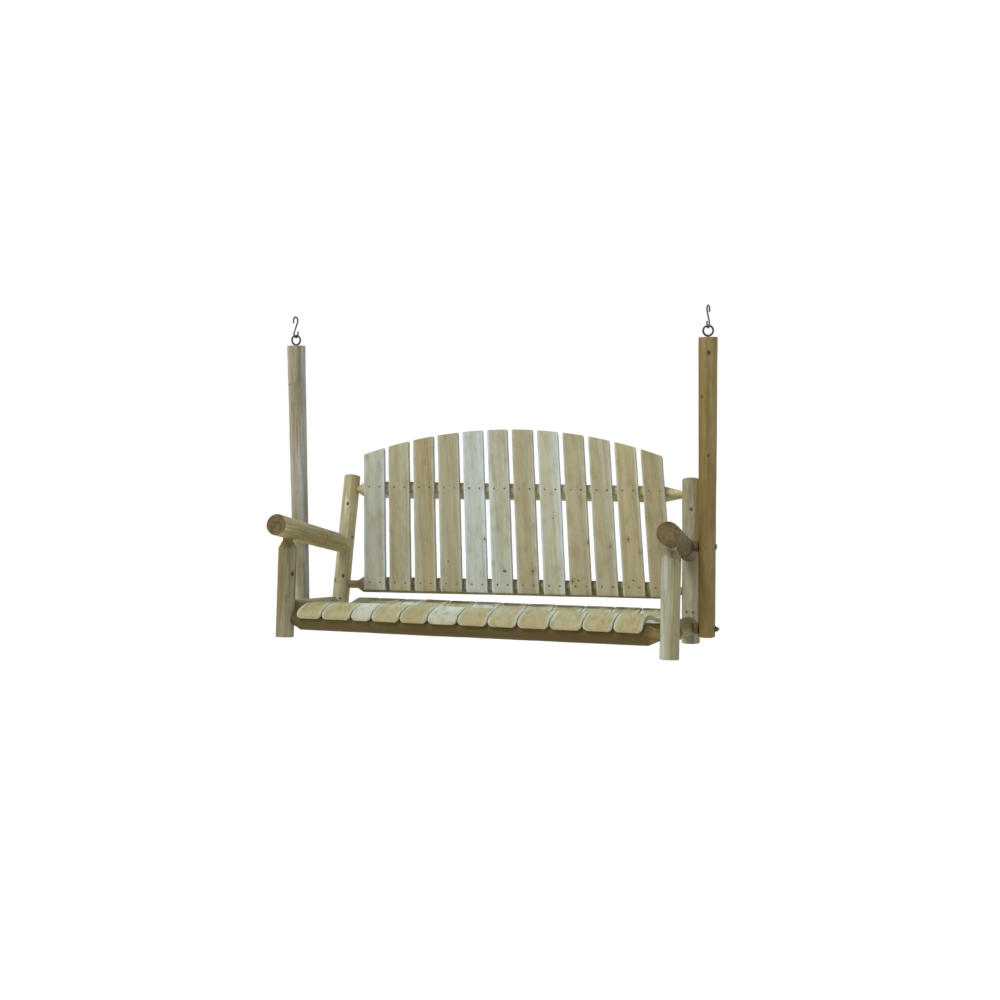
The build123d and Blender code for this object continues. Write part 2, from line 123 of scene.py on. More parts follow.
def add_sky():
    """A white room: bright below and around the horizon, dimmer overhead."""
    world = bpy.data.worlds.new("studio")
    world.use_nodes = True
    tree = world.node_tree
    direction = tree.nodes.new("ShaderNodeTexCoord")
    split = tree.nodes.new("ShaderNodeSeparateXYZ")
    tree.links.new(direction.outputs["Generated"], split.inputs[0])
    ramp = tree.nodes.new("ShaderNodeMapRange")
    ramp.inputs["From Min"].default_value = SKY_FADE_START
    ramp.inputs["From Max"].default_value = SKY_FADE_END
    ramp.inputs["To Min"].default_value = SKY_LOW_POWER
    ramp.inputs["To Max"].default_value = SKY_HIGH_POWER
    tree.links.new(split.outputs["Z"], ramp.inputs["Value"])
    tree.links.new(ramp.outputs["Result"], tree.nodes["Background"].inputs["Strength"])
    tree.nodes["Background"].inputs["Color"].default_value = (1, 1, 1, 1)
    bpy.context.scene.world = world


def add_floor(material):
    """A plain floor, far enough down that the swing throws no shadow into the picture."""
    height = cad_box[0][2] - FLOOR_DROP
    reach = FLOOR_REACH
    mesh = bpy.data.meshes.new("floor")
    corners = [(-reach, -reach), (reach, -reach), (reach, reach), (-reach, reach)]
    mesh.from_pydata([(x, y, height) for x, y in corners], [], [(0, 1, 2, 3)])
    mesh.materials.append(material)
    floor = bpy.data.objects.new("floor", mesh)
    bpy.context.scene.collection.objects.link(floor)


# ---- Materials ----

def paint(red, green, blue):
    """A linear colour from one given in display values of 0 to 255."""
    return [((c / 255 + 0.055) / 1.055) ** 2.4 if c > 10 else c / 255 / 12.92 for c in (red, green, blue)]


# A pale blue-grey: the boards' own frost, and a painted highlight along their eased edges.
FROST_AND_HIGHLIGHT = paint(203, 216, 218)
SPOT_HALO = paint(122, 92, 54)
SPOT_CORE = paint(66, 48, 30)
KNOT = paint(66, 50, 32)
END_WOOD = paint(109, 93, 61)
END_RINGS = paint(87, 72, 44)
END_DIRT = paint(58, 46, 27)

# How fine each part of the wood's pattern is, per metre: across the log twice, then along it.
SPOT_GRAIN = (15, 0, 10)
WANDER_GRAIN = (9, 9, 2.2)
FIBRE_GRAIN = (260, 260, 7)
STREAK_GRAIN = (55, 55, 2.4)
PATCH_GRAIN = (13, 13, 3.1)
MOTTLE_GRAIN = (42, 42, 17)
YEAR_GRAIN = 130.0

WANDER = 20 * MM
KNOT_BULGE = 12 * MM
SPOT_BULGE = 6 * MM
WOOD_SHINE = 0.25
WOOD_RELIEF = 1.2 * MM
STEEL_RELIEF = 0.3 * MM


class Shader:
    """A material's node tree, with one short method for each kind of node it uses."""

    def __init__(self, name):
        self.material = bpy.data.materials.new(name)
        self.material.use_nodes = True
        self.tree = self.material.node_tree
        self.surface = self.tree.nodes["Principled BSDF"]

    def put(self, value, socket):
        if isinstance(value, bpy.types.NodeSocket):
            self.tree.links.new(value, socket)
        else:
            socket.default_value = value

    def place(self):
        return self.tree.nodes.new("ShaderNodeTexCoord").outputs["Object"]

    def attribute(self, name, output="Vector"):
        node = self.tree.nodes.new("ShaderNodeAttribute")
        node.attribute_name = name
        return node.outputs[output]

    def math(self, operation, first, second=0.0, third=0.0, clamp=False):
        node = self.tree.nodes.new("ShaderNodeMath")
        node.operation = operation
        node.use_clamp = clamp
        for value, socket in zip((first, second, third), node.inputs):
            self.put(value, socket)
        return node.outputs[0]

    def vector(self, operation, first, second=(0, 0, 0)):
        node = self.tree.nodes.new("ShaderNodeVectorMath")
        node.operation = operation
        self.put(first, node.inputs[0])
        self.put(second, node.inputs[1])
        return node.outputs["Value" if operation == "LENGTH" else "Vector"]

    def noise(self, vector, scale=1.0, detail=3.0, rough=0.5, colour=False):
        node = self.tree.nodes.new("ShaderNodeTexNoise")
        self.put(vector, node.inputs["Vector"])
        self.put(scale, node.inputs["Scale"])
        self.put(detail, node.inputs["Detail"])
        self.put(rough, node.inputs["Roughness"])
        return node.outputs["Color" if colour else "Fac"]

    def cells(self, vector):
        """How far the nearest of some scattered spots is, and a number of that spot's own."""
        node = self.tree.nodes.new("ShaderNodeTexVoronoi")
        self.put(vector, node.inputs["Vector"])
        self.put(1.0, node.inputs["Scale"])
        return node.outputs["Distance"], self.math("FRACT", self.vector("LENGTH", node.outputs["Color"]))

    def fit(self, value, low, high, to_low=0.0, to_high=1.0, smooth=True):
        node = self.tree.nodes.new("ShaderNodeMapRange")
        node.interpolation_type = "SMOOTHSTEP" if smooth else "LINEAR"
        for value_in, socket in zip((value, low, high, to_low, to_high), node.inputs):
            self.put(value_in, socket)
        return node.outputs["Result"]

    def mix(self, share, first, second, blend="MIX"):
        node = self.tree.nodes.new("ShaderNodeMix")
        node.data_type = "RGBA"
        node.blend_type = blend
        sockets = (node.inputs[0], node.inputs[6], node.inputs[7])
        for value, socket in zip((share, first, second), sockets):
            if isinstance(value, (list, tuple)):
                value = (*value, 1.0)
            self.put(value, socket)
        return node.outputs[2]

    def bump(self, height, strength, distance):
        node = self.tree.nodes.new("ShaderNodeBump")
        node.inputs["Strength"].default_value = strength
        node.inputs["Distance"].default_value = distance
        self.put(height, node.inputs["Height"])
        self.put(node.outputs["Normal"], self.surface.inputs["Normal"])

    def finish(self, colour, roughness):
        self.put(colour, self.surface.inputs["Base Color"])
        self.put(roughness, self.surface.inputs["Roughness"])
        return self.material


def grain_noise(wood, grain, fineness, detail, rough=0.5):
    return wood.noise(wood.vector("MULTIPLY", grain, fineness), detail=detail, rough=rough)


def strewn_spots(wood, grain, share):
    """The soft halo and the dark core of small knots strewn over a board, each from 0 to 1."""
    away, chance = wood.cells(wood.vector("MULTIPLY", grain, SPOT_GRAIN))
    chosen = wood.math("LESS_THAN", chance, share)
    halo = wood.math("MULTIPLY", chosen, wood.fit(away, 0.02, 0.24, 1.0, 0.0))
    core = wood.math("MULTIPLY", chosen, wood.fit(away, 0.03, 0.062, 1.0, 0.0))
    return halo, core


def pith_distance(wood, grain, knot, halo):
    """How far a point is from the pith, in rings that wander a little and bend round knots."""
    wander = wood.noise(wood.vector("MULTIPLY", grain, WANDER_GRAIN), detail=2, colour=True)
    wander = wood.vector("SUBTRACT", wander, (0.5, 0.5, 0.5))
    wander = wood.vector("MULTIPLY", wander, (WANDER, WANDER, 0))
    flat = wood.vector("MULTIPLY", wood.vector("ADD", grain, wander), (1, 1, 0))
    distance = wood.math("ADD", wood.vector("LENGTH", flat), wood.math("MULTIPLY", knot, KNOT_BULGE))
    return wood.math("ADD", distance, wood.math("MULTIPLY", halo, SPOT_BULGE))


def cedar(name, heart, sap, dark, sap_start, ring_gap, contrast, carved=True, spots=0.0):
    """Cedar, coloured by where a point lies in its log.

    A carved piece brings that place, its tint and its shades along as attributes, and any other
    piece uses its own axes. The sapwood starts sap_start from the pith, and spots is the share
    of the strewn small knots that show.
    """
    wood = Shader(name)
    grain = wood.attribute("grain") if carved else wood.place()
    knot = wood.attribute("knot", "Fac")
    tone_and_shade = wood.attribute("tone_and_shade", "Fac")
    frost_and_highlight = wood.attribute("frost_and_highlight", "Fac")
    halo, core = strewn_spots(wood, grain, spots)
    from_pith = pith_distance(wood, grain, knot, halo)

    fibres = grain_noise(wood, grain, FIBRE_GRAIN, 4, 0.6)
    streaks = grain_noise(wood, grain, STREAK_GRAIN, 3)
    patches = grain_noise(wood, grain, PATCH_GRAIN, 2)
    mottle = grain_noise(wood, grain, MOTTLE_GRAIN, 5, 0.65)
    years = wood.noise(wood.math("MULTIPLY", from_pith, YEAR_GRAIN), detail=2)
    cycle = wood.math("FRACT", wood.math("DIVIDE", from_pith, ring_gap))
    late = wood.fit(wood.math("ABSOLUTE", wood.math("SUBTRACT", cycle, 0.8)), 0.0, 0.22, 1.0, 0.0)

    edge = wood.math("ADD", from_pith, wood.math("MULTIPLY", wood.math("SUBTRACT", patches, 0.5), 0.02))
    colour = wood.mix(wood.fit(edge, sap_start - 4 * MM, sap_start + 5 * MM), heart, sap)
    colour = wood.mix(wood.fit(streaks, 0.42, 0.72, 0.0, contrast), colour, dark)
    colour = wood.mix(wood.fit(years, 0.42, 0.7, 0.0, 0.65 * contrast), colour, dark)
    colour = wood.mix(wood.math("MULTIPLY", late, 0.38 * contrast), colour, dark)
    colour = wood.mix(wood.fit(fibres, 0.35, 0.8, 0.0, 0.30), colour, dark)
    colour = wood.mix(wood.fit(patches, 0.45, 0.7, 0.0, 0.25), colour, sap)
    # Frost is the boards' own grey; near their edges the same colour is a painted highlight.
    frost_and_highlight_share = wood.math("MULTIPLY", frost_and_highlight, wood.fit(mottle, 0.25, 0.75, 1.0, 0.6))
    colour = wood.mix(frost_and_highlight_share, colour, FROST_AND_HIGHLIGHT)
    colour = wood.mix(wood.fit(mottle, 0.45, 0.78, 0.0, 0.8 * contrast), colour, dark)
    # The tone attribute is the wood's own darkness plus painted shade: on logs' sides turned from the
    # light, on narrowed ends going into other logs, under the seat's lip.
    colour = wood.mix(tone_and_shade, colour, dark)
    colour = wood.mix(wood.math("MULTIPLY", halo, 0.45), colour, SPOT_HALO)
    colour = wood.mix(wood.math("MULTIPLY", core, 0.85), colour, SPOT_CORE)
    if carved:
        colour = wood.mix(1.0, colour, wood.attribute("tint", "Color"), "MULTIPLY")

    end_grain = wood.mix(wood.fit(years, 0.3, 0.7), END_WOOD, END_RINGS)
    end_grain = wood.mix(wood.fit(mottle, 0.4, 0.7, 0.0, 0.7), end_grain, END_DIRT)
    colour = wood.mix(wood.attribute("end", "Fac"), colour, end_grain)
    colour = wood.mix(wood.fit(knot, 0.35, 0.75, 0.0, 0.9), colour, KNOT)
    wood.surface.inputs["Specular IOR Level"].default_value = WOOD_SHINE
    wood.bump(wood.math("ADD", fibres, wood.math("MULTIPLY", late, -0.35)), 0.35, WOOD_RELIEF)
    return wood.finish(colour, wood.fit(fibres, 0.2, 0.8, 0.58, 0.84))


def steel(name, colour, worn, low_rough, high_rough):
    metal = Shader(name)
    place = metal.place()
    blotch = metal.noise(place, scale=130, detail=4)
    grit = metal.noise(place, scale=1600, detail=2)
    metal.surface.inputs["Metallic"].default_value = 1.0
    metal.bump(grit, 0.15, STEEL_RELIEF)
    shade = metal.mix(metal.fit(blotch, 0.4, 0.7), colour, worn)
    return metal.finish(shade, metal.fit(blotch, 0.3, 0.7, low_rough, high_rough))


def floor_paint():
    paintwork = Shader("pale_floor")
    mottle = paintwork.noise(paintwork.place(), scale=3, detail=3)
    return paintwork.finish(paintwork.mix(mottle, (0.93, 0.93, 0.92), (0.97, 0.97, 0.96)), 0.8)


# ---- Building meshes ----

SHARP_ANGLE = math.radians(40)


def skin(name, sections, grain, tint, shades, material):
    """A closed mesh over rings of points, with its wood coordinates, tint and shades on each point."""
    count = len(sections[0])
    points = [point for ring in sections for point in ring]
    faces = []
    for start in range(0, len(points) - count, count):
        for j in range(count):
            k = (j + 1) % count
            faces.append((start + j, start + k, start + count + k, start + count + j))
    faces.append(tuple(range(count)))
    faces.append(tuple(range(len(points) - count, len(points))))
    mesh = bpy.data.meshes.new(name)
    mesh.from_pydata(points, [], faces)
    for label, vectors in (("grain", np.array(grain).ravel()), ("tint", list(tint) * len(points))):
        mesh.attributes.new(label, "FLOAT_VECTOR", "POINT").data.foreach_set("vector", vectors)
    for shade, values in shades.items():
        mesh.attributes.new(shade, "FLOAT", "POINT").data.foreach_set("value", values)
    whole = bmesh.new()
    whole.from_mesh(mesh)
    bmesh.ops.recalc_face_normals(whole, faces=whole.faces)
    whole.to_mesh(mesh)
    whole.free()
    mesh.shade_smooth()
    mesh.set_sharp_from_angle(angle=SHARP_ANGLE)
    mesh.materials.append(material)
    piece = bpy.data.objects.new(name, mesh)
    bpy.context.scene.collection.objects.link(piece)
    return piece


def stand_for(piece, node):
    """Puts a carved piece in a CAD node's place, on the body that swings."""
    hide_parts(node)
    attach(piece, "swing")


def mesh_points(node):
    mesh = nodes[node].data
    points = np.zeros(len(mesh.vertices) * 3)
    mesh.vertices.foreach_get("co", points)
    return points.reshape(-1, 3)


# ---- Logs ----

AROUND = 72
STEP = 6 * MM
LOG_WAVE = 1.0 * MM
LOG_SHRINK = 0.7 * MM
KNOT_SWELL = 0.8 * MM
KNOT_EVERY = 0.33
FACETS = 14
FACET_DEPTH = 0.25 * MM
END_SKIN = 1.5 * MM
END_SHADE = 0.96
END_DEPTH = 26 * MM
SLANT_REACH = 90 * MM
RING_POINTS = 12
HOLE_RADIUS = 12 * MM
END_GAP = 3 * MM


def end_faces(node, along):
    """The centre and normal of a log's two flat ends, which may be cut at a slant."""
    ends = []
    reach = mesh_points(node) @ np.array(along)
    for sense, limit in ((-1, reach.min()), (1, reach.max())):
        centre, normal = Vector(), Vector()
        for face in nodes[node].data.polygons:
            near = abs(face.center.dot(along) - limit) < END_DEPTH
            if near and face.normal.dot(along) * sense > 0.9:
                centre += face.center * face.area
                normal += face.normal * face.area
        ends.append((centre / normal.length, normal.normalized()))
    return ends


def long_axis(node):
    points = mesh_points(node)
    _, vectors = np.linalg.eigh(np.cov((points - points.mean(0)).T))
    return Vector(vectors[:, 2])


def log_profile(node, start, along, length):
    """The CAD log's rings from one end to the other, as a distance along it and a radius.

    A ring is any place where enough points share both, so the rim of a hole can count as one too.
    """
    offsets = mesh_points(node) - np.array(start)
    runs = offsets @ np.array(along)
    radii = np.linalg.norm(offsets - np.outer(runs, np.array(along)), axis=1)
    rings = {}
    for run, radius in zip(runs, radii):
        key = (round(run / MM), round(radius / MM))
        rings.setdefault(key, []).append((run, radius))
    full_rings = [ring for ring in rings.values() if len(ring) >= RING_POINTS]
    circles = sorted(tuple(np.mean(ring, axis=0)) for ring in full_rings)
    profile = [(run, radius) for run, radius in circles if radius > HOLE_RADIUS]
    if profile[0][0] > END_GAP:
        profile.insert(0, (0.0, profile[0][1]))
    if profile[-1][0] < length - END_GAP:
        profile.append((length, profile[-1][1]))
    return profile


# How dark each log is, as a share of the wood's dark colour: mostly the wood's own tone, with painted shade
# for front_seat_rail under the seat's lip and in part for armrest_right.
LOG_TONES_AND_SHADE = {
    "hanging_post_right": 0.62, "hanging_post_left": 0.12, "front_post_left": 0.42, "front_post_right": 0.1,
    # front_seat_rail's darkness is painted shade under the seat's overhanging lip.
    "front_seat_rail": 0.92, "rear_seat_rail": 0.6, "top_back_rail": 0.30, "lower_back_rail": 0.3,
    "armrest_left": 0.12, "armrest_right": 0.42, "side_rail_left": 0.2, "side_rail_right": 0.45,
    "back_post_left": 0.05, "back_post_right": 0.22,
}

# Painted shade on the narrowed ends of some logs, where they go into other logs, as the same kind of share:
# at the log's start, then at its finish.
CUT_SHADE_TONES = {
    "front_seat_rail": (1.0, 0.2), "top_back_rail": (0.4, 0.25), "lower_back_rail": (0.4, 0.4),
    "front_post_left": (0.4, 0.4), "front_post_right": (0.15, 0.15),
}

# How much darker than the log they are on any other log, as painted shade where they go into other logs.
CUT_SHADE_EXTRA = 0.25

# Painted shade: where round a log it is darker, on the side turned from the light, in degrees, and by how
# much.
LOG_SHADED_SIDES = {
    "armrest_right": (225, 0.38), "front_post_left": (0, 0.18), "front_post_right": (0, 0.06),
    "back_post_left": (0, 0.25), "back_post_right": (0, 0.08), "hanging_post_right": (0, 0.06),
}

# What each log's colour is multiplied by: mostly the wood's own colour, with painted shade for
# front_seat_rail under the seat's lip and in part for armrest_right's side turned from the light.
LOG_TINTS_AND_SHADE = {
    "hanging_post_right": (1.28, 1.12, 0.72), "hanging_post_left": (1.32, 1.40, 1.85),
    "front_post_left": (0.97, 0.96, 0.87), "front_post_right": (1.06, 1.12, 1.24),
    # front_seat_rail's dark tint is painted shade; armrest_right's is partly painted shade.
    "front_seat_rail": (0.86, 0.77, 0.46), "rear_seat_rail": (1.0, 0.95, 0.8),
    "top_back_rail": (2.1, 2.15, 2.3), "lower_back_rail": (1.4, 1.38, 1.3),
    "armrest_left": (1.5, 1.47, 1.25), "armrest_right": (0.72, 0.62, 0.34),
    "back_post_left": (1.42, 1.44, 1.38), "back_post_right": (1.0, 1.0, 0.94),
    "side_rail_right": (0.84, 0.76, 0.50), "side_rail_left": (1.1, 1.08, 0.98),
}

# How far some logs' pith is off their middle, in millimetres.
LOG_PITHS = {
    "front_post_left": (12, 2), "front_post_right": (-9, 4), "hanging_post_left": (7, -5),
    "hanging_post_right": (8, 5), "back_post_right": (-4, 3),
    "armrest_left": (0, -11), "armrest_right": (-6, -11),
}

# Some logs' larger knots: the share of the log's length, degrees round it, and size in millimetres.
LOG_KNOTS = {
    "front_post_left": [(0.585, -152, 9)], "back_post_left": [(0.32, -116, 9), (0.80, -100, 8)],
    "hanging_post_right": [(0.947, -100, 9), (0.803, -60, 8), (0.61, -100, 8)],
    "back_post_right": [(0.80, -100, 8)],
    "hanging_post_left": [(0.67, -38, 9), (0.86, -60, 6), (0.52, -30, 8), (0.42, -70, 7)],
}


def smooth_noise(x, y, z):
    return noise.noise(Vector((x, y, z)))


def log_stations(profile, length):
    """How far along a log its rings of points stand: at even steps, profile rings and sawn ends."""
    steps = round(length / STEP)
    stations = {round(run, 5) for run, _ in profile}
    stations |= {round(i * length / steps, 5) for i in range(steps + 1)}
    stations |= {END_SKIN, round(length - END_SKIN, 5)}
    return sorted(s for s in stations if 0 <= s <= length)


def log_knots(node, length, rng):
    """A log's knots as distance along, angle and size: its named ones, then random ones."""
    knots = [(t * length, math.radians(a), s * MM) for t, a, s in LOG_KNOTS.get(node, [])]
    knots += [
        (rng.uniform(0.1, 0.9) * length, rng.uniform(0, math.tau), rng.uniform(4, 8) * MM)
        for _ in range(round(length / KNOT_EVERY))
    ]
    return knots


def knot_at(knots, run, angle, radius):
    """How much a point belongs to a knot, from 0 to 1, and how far the wood swells there."""
    knot = 0.0
    swell = 0.0
    for knot_run, knot_angle, size in knots:
        turn = (angle - knot_angle + math.pi) % math.tau - math.pi
        away = math.hypot((run - knot_run) * 0.8, turn * radius)
        knot = max(knot, math.exp(-((away / size) ** 2)))
        swell += KNOT_SWELL * math.exp(-((away / (2 * size)) ** 2))
    return knot, swell


def log_wave(angle, run, seed):
    """Broad humps and finer ones on a peeled log, at an angle round it and a distance along."""
    broad = smooth_noise(2 * math.cos(angle) * 0.6 + seed, 1.2 * math.sin(angle), run * 5)
    fine = smooth_noise(math.cos(angle) * 2.4, math.sin(angle) * 2.4 + seed, run * 16)
    return broad + 0.4 * fine


def make_log(node, material, rng):
    """A peeled log on the CAD log's own axis and profile: a little bowed, lumpy and knotty."""
    along = long_axis(node)
    if along.dot(Vector((1, -1, 1))) < 0:
        along = -along
    (start, start_normal), (finish, finish_normal) = end_faces(node, along)
    length = (finish - start).length
    along = (finish - start) / length
    profile = log_profile(node, start, along, length)
    side = along.cross(Vector((0, 0, 1)) if abs(along.z) < 0.7 else Vector((0, 1, 0))).normalized()
    rise = side.cross(along).normalized()
    full = max(radius for _, radius in profile)
    runs, radii = zip(*profile)
    seed = rng.uniform(0, 50)
    bow = rng.uniform(0.8, 1.6) * MM * min(1.0, length)
    bow_angle = rng.uniform(0, math.tau)
    pith = [MM * part for part in LOG_PITHS.get(node, (rng.uniform(-6, 6), rng.uniform(-6, 6)))]
    shift = rng.uniform(0, 30)
    knots = log_knots(node, length, rng)
    tone_and_shade = LOG_TONES_AND_SHADE[node]
    cut_shade_tones = CUT_SHADE_TONES.get(node, (tone_and_shade + CUT_SHADE_EXTRA, tone_and_shade + CUT_SHADE_EXTRA))
    shaded_side, side_shade = LOG_SHADED_SIDES.get(node, (0, 0.0))
    sections, grain, knot_values, ends, tones_and_shades = [], [], [], [], []
    for run in log_stations(profile, length):
        radius = float(np.interp(run, runs, radii))
        body = max(0.0, (radius / full - 0.75) / 0.25)
        # Painted contact shade on the narrowed ends, where they go into other logs.
        cut_shade_tone = cut_shade_tones[0 if run < length / 2 else 1]
        bow_way = side * math.cos(bow_angle) + rise * math.sin(bow_angle)
        middle = start + along * run + bow_way * (bow * math.sin(math.pi * run / length))
        ring = []
        for j in range(AROUND):
            angle = math.tau * j / AROUND
            spoke = side * math.cos(angle) + rise * math.sin(angle)
            knot, swell = knot_at(knots, run, angle, full)
            facet = FACET_DEPTH * math.cos(angle * FACETS) * (1 - body)
            reach = radius - LOG_SHRINK * body + facet
            reach += body * (LOG_WAVE * log_wave(angle, run, seed) + swell)
            point = middle + spoke * reach
            for normal, distance in ((start_normal, run), (finish_normal, length - run)):
                slant = -spoke.dot(normal) / along.dot(normal)
                point += along * slant * reach * max(0.0, 1 - distance / SLANT_REACH)
            ring.append(point)
            grain.append((
                math.cos(angle) * reach - pith[0],
                math.sin(angle) * reach - pith[1],
                run + shift,
            ))
            knot_values.append(knot * body)
            # Painted shade on the side of the log turned from the light.
            painted_side_shade = side_shade * math.cos(angle - math.radians(shaded_side))
            tones_and_shades.append(cut_shade_tone + (tone_and_shade - cut_shade_tone) * body + painted_side_shade)
        sections.append(ring)
        sawn = run < END_SKIN / 2 or run > length - END_SKIN / 2
        ends += [END_SHADE if sawn else 0.0] * AROUND
    shades = {"knot": knot_values, "end": ends, "tone_and_shade": tones_and_shades}
    piece = skin(node + "_log", sections, grain, LOG_TINTS_AND_SHADE[node], shades, material)
    stand_for(piece, node)


# ---- Boards ----

def rounded_rectangle(width, thickness, corner, across):
    """Points round a board's section, as offsets from its middle, with the flats cut into across."""
    half_w, half_t = width / 2, thickness / 2
    loop = []
    for sign_w, sign_t, start in ((1, 1, 0), (-1, 1, 90), (-1, -1, 180), (1, -1, 270)):
        centre = (sign_w * (half_w - corner), sign_t * (half_t - corner))
        for turn in (0, 30, 60, 90):
            angle = math.radians(start + turn)
            loop.append((centre[0] + corner * math.cos(angle), centre[1] + corner * math.sin(angle)))
        if sign_w == sign_t:
            for k in range(1, across):
                share = 1 - 2 * k / across
                loop.append((sign_t * share * (half_w - corner), sign_t * half_t))
    return loop


BACK_ROWS = 70
BACK_COLUMNS = 10
BACK_CORNER = 2.2 * MM
BACK_TRIM = 0.8 * MM
BACK_WOBBLE = 0.5 * MM
BACK_EDGE_WAVE = 0.7 * MM
# How far in from a back slat's edges the painted highlight reaches.
BACK_EDGE_HIGHLIGHT_REACH = 4 * MM
BACK_GRAIN_DRIFT = 20 * MM
CROWN_SLACK = 0.1 * MM
THINNED = 0.97

# How light and how blue each back slat is beside the wood's own colour, from left to right.
BACK_SHADES = (
    (1.0, 1.1), (0.87, 0.83), (0.83, 0.87), (0.80, 0.90), (1.0, 1.28), (0.93, 1.10),
    (0.80, 0.84), (1.07, 1.18), (0.77, 0.73), (0.92, 0.94), (0.86, 0.82), (0.70, 0.72),
)


def board_tint(value, blueness):
    """A board's tint from how light and how blue it is beside its neighbours."""
    return (value, value * (0.67 + 0.33 * blueness), value * blueness)


def back_board(node):
    """A CAD back slat's directions, sides, feet, arched top and faces, as if it didn't lean."""
    mesh = nodes[node].data
    face = max(mesh.polygons, key=lambda polygon: polygon.area)
    forward = face.normal if face.normal.y < 0 else -face.normal
    upward = forward.cross(Vector((1, 0, 0)))
    if upward.z < 0:
        upward = -upward
    points = mesh_points(node)
    x, up = points[:, 0], points @ np.array(upward)
    deep = points @ np.array(forward)
    low_left, low_right = np.argmin(x + up), np.argmax(x - up)
    top_left, top_right = np.argmin(x - up), np.argmax(x + up)
    lean = (x[top_left] - x[low_left]) / (up[top_left] - up[low_left])
    across = x - lean * (up - up[low_left])
    crown = up > min(up[top_left], up[top_right]) - CROWN_SLACK
    order = np.argsort(across[crown])
    return SimpleNamespace(
        forward=forward,
        upward=upward,
        lean=lean,
        sides=[across[low_left], across[low_right]],
        feet=[up[low_left], up[low_right]],
        crown=(across[crown][order], up[crown][order]),
        faces=(deep.min(), deep.max()),
    )


def make_back_slat(node, material, rng):
    """A sawn board with eased edges, between the CAD slat's own corners and arched top."""
    board = back_board(node)
    left, right = board.sides
    near, far = board.faces
    width, thickness = right - left, far - near
    middle_x, middle_deep = (left + right) / 2, (far + near) / 2
    seed = rng.uniform(0, 90)
    pith = (rng.uniform(-30, 30) * MM, rng.uniform(16, 38) * MM)
    shift = rng.uniform(0, 30)
    knots = [
        (rng.uniform(-0.3, 0.3) * width, rng.uniform(0.05, 0.5), rng.uniform(3, 6) * MM)
        for _ in range(rng.choice((0, 1, 1, 2)))
    ]
    sections, grain, knot_values, frost_and_highlights = [], [], [], []
    frost = rng.uniform(0.0, 0.35)
    for i in range(BACK_ROWS + 1):
        share = i / BACK_ROWS
        trim = 2 * BACK_TRIM if i in (0, BACK_ROWS) else 0.0
        ring = []
        for a, b in rounded_rectangle(width - trim, thickness - trim, BACK_CORNER, BACK_COLUMNS):
            at = middle_x + a
            foot = np.interp(at, board.sides, board.feet)
            top = np.interp(at, *board.crown)
            height = foot + (top - foot) * share
            wobble = BACK_WOBBLE * smooth_noise(seed, share * 7, 3 * a / width)
            edge = BACK_EDGE_WAVE * smooth_noise(seed + 9, share * 9, 0.5) * abs(2 * a / width)
            sideways = at + edge + board.lean * (height - board.feet[0])
            level = middle_deep + b * THINNED + wobble
            ring.append(Vector((1, 0, 0)) * sideways + board.upward * height + board.forward * level)
            grain.append((a - pith[0] + BACK_GRAIN_DRIFT * share, b + pith[1], height + shift))
            away = [math.hypot(a - k[0], (share - k[1]) * 0.5) / k[2] for k in knots]
            knot_values.append(max([math.exp(-d * d) for d in away], default=0.0))
            # The board's own frost, and a painted highlight along its eased edges.
            frost_and_highlights.append(max(frost, 0.7 * min(1.0, 1.6 - (width / 2 - abs(a)) / BACK_EDGE_HIGHLIGHT_REACH)))
        sections.append(ring)
    tones_and_shades = [rng.uniform(0.0, 0.25)] * len(frost_and_highlights)
    shades = {"knot": knot_values, "tone_and_shade": tones_and_shades, "frost_and_highlight": frost_and_highlights}
    tint = board_tint(*BACK_SHADES[BACK_SLATS.index(node)])
    piece = skin(node + "_board", sections, grain, tint, shades, material)
    stand_for(piece, node)


WELD = 0.01 * MM


def side_profile(node):
    """The outline of a seat slat at its middle, as (y, z) points in order."""
    low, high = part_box(node)
    cut = bmesh.new()
    cut.from_mesh(nodes[node].data)
    bmesh.ops.remove_doubles(cut, verts=cut.verts, dist=WELD)
    geometry = list(cut.verts) + list(cut.edges) + list(cut.faces)
    middle = Vector(((low.x + high.x) / 2, 0, 0))
    result = bmesh.ops.bisect_plane(
        cut, geom=geometry, plane_co=middle, plane_no=(1, 0, 0), clear_inner=True, clear_outer=False
    )
    edges = [e for e in result["geom_cut"] if isinstance(e, bmesh.types.BMEdge)]
    neighbours = {}
    for edge in edges:
        first, second = edge.verts
        neighbours.setdefault(first, []).append(second)
        neighbours.setdefault(second, []).append(first)
    here = edges[0].verts[0]
    before, loop = None, []
    while True:
        loop.append((here.co.y, here.co.z))
        ahead = [v for v in neighbours[here] if v is not before]
        before, here = here, ahead[0]
        if here is edges[0].verts[0]:
            break
    cut.free()
    return np.array(loop)


def resample(path, count):
    """Evenly spaced points on a path, and the path's length."""
    steps = np.r_[0, np.cumsum(np.linalg.norm(np.diff(path, axis=0), axis=1))]
    wanted = np.linspace(0, steps[-1], count)
    return np.c_[np.interp(wanted, steps, path[:, 0]), np.interp(wanted, steps, path[:, 1])], steps[-1]


